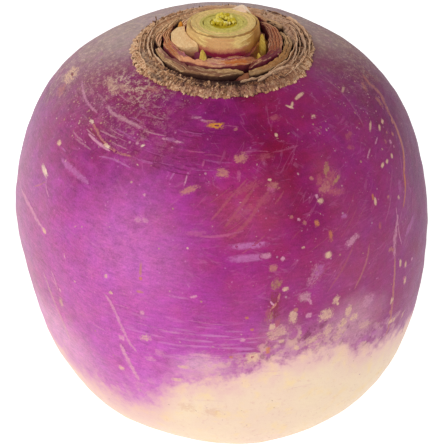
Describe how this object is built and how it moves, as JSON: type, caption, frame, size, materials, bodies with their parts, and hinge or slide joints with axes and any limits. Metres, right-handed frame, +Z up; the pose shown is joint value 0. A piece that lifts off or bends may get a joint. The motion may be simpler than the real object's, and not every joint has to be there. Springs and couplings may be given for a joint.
{
  "type": "turnip",
  "caption": "Purple-topped white turnip root with its leaves trimmed off: corky crown collar, nested cut leaf bases and buds, and a flat cut where the tap root was taken off.",
  "frame": {"origin": "middle of the flat face where the tap root was cut off, on which the turnip rests", "axes": "+Z up through the crown; -Y towards the front of the pictured side; +X to its right"},
  "size_m": [0.0901, 0.09, 0.0961],
  "materials": {
    "skin": "waxy, purple above and cream-white below",
    "cream_cut": "cut, moist",
    "green_cut": "cut, moist",
    "fresh_bud": "soft",
    "leaf_base": "half dry",
    "old_leaf_base": "corky",
    "dry_scale": "papery, dry"
  },
  "bodies": {
    "root": {"root": "skin", "sheath_outer": "cream_cut", "sheath_middle": "cream_cut", "sheath_inner": "green_cut", "cut_stalk_left": "cream_cut", "cut_stalk_back": "cream_cut", "leaf_base_front": "leaf_base", "leaf_base_right": "leaf_base", "leaf_base_back": "leaf_base", "old_leaf_base_front": "old_leaf_base", "old_leaf_base_right": "old_leaf_base", "old_leaf_base_back": "old_leaf_base", "old_leaf_base_left": "old_leaf_base", "dry_scale_right_inner": "dry_scale", "dry_scale_right_middle": "dry_scale", "dry_scale_right_outer": "dry_scale", "dry_scale_front": "dry_scale", "dry_scale_back": "dry_scale", "dry_scale_left": "dry_scale", "heart_bud": "fresh_bud", "side_bud_front": "fresh_bud", "side_bud_right": "fresh_bud", "side_bud_neck": "fresh_bud", "side_bud_left": "fresh_bud"}
  },
  "joints": []
}
